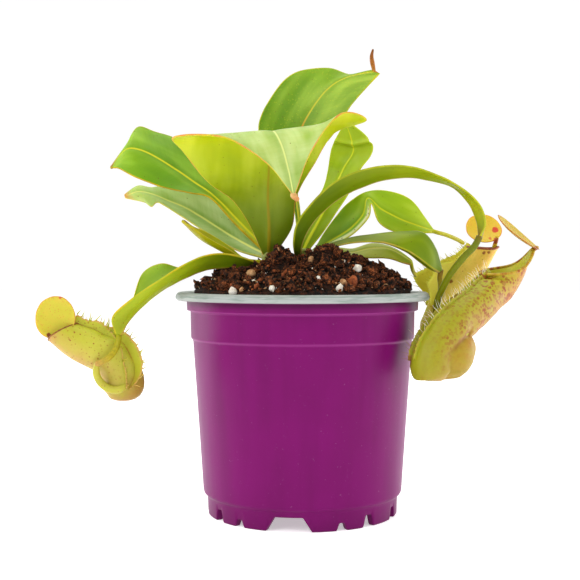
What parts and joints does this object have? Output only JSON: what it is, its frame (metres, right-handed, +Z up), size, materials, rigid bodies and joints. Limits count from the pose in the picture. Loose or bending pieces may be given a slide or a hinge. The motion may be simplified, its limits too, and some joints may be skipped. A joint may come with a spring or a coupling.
{
  "type": "potted pitcher plant",
  "caption": "Young pitcher plant with broad arching leaves and hanging lidded pitchers, growing in soil in a round plastic nursery pot with a rolled rim and a notched foot.",
  "frame": {"origin": "on the surface under the pot's foot, on the pot's axis, which is within 1.5 mm of the middle of the bounding box", "axes": "+Z up along the pot's axis, +X to the right across the plant's greatest width, -Y towards the picture's viewer"},
  "size_m": [0.2297, 0.12, 0.2201],
  "materials": {
    "pot_plastic": "satin magenta-purple sheet with a grey-green rim",
    "soil": "crumbly dark peat with bark and white grit",
    "crown": "matt yellow-green stalk",
    "leaf_light": "satin yellow-green leaf",
    "leaf_glossy": "glossy mid-green leaf",
    "leaf_pale": "pale sage-green leaf with a soft sheen",
    "leaf_olive": "satin olive-green leaf and tendril",
    "pitcher": "satin yellow-green pitcher with red-brown specks",
    "lid": "satin yellow lid"
  },
  "bodies": {
    "root": {"pot": "pot_plastic", "soil": "soil", "crown_left": "crown", "crown_right": "crown", "leaf_front": "leaf_light", "leaf_upper_back": "leaf_glossy", "leaf_upper_left": "leaf_glossy", "leaf_lower_left": "leaf_pale", "leaf_small_left": "leaf_olive", "leaf_low_left": "leaf_olive", "leaf_right_arch": "leaf_olive", "leaf_wrinkled_back": "leaf_light", "leaf_right_middle": "leaf_light", "leaf_right_low_arch": "leaf_olive", "leaf_right_lowest": "leaf_light", "pitcher_left": "pitcher", "lid_left": "lid", "pitcher_front_right": "pitcher", "lid_front_right": "lid", "pitcher_back_right": "pitcher", "lid_back_right": "lid"}
  },
  "joints": []
}
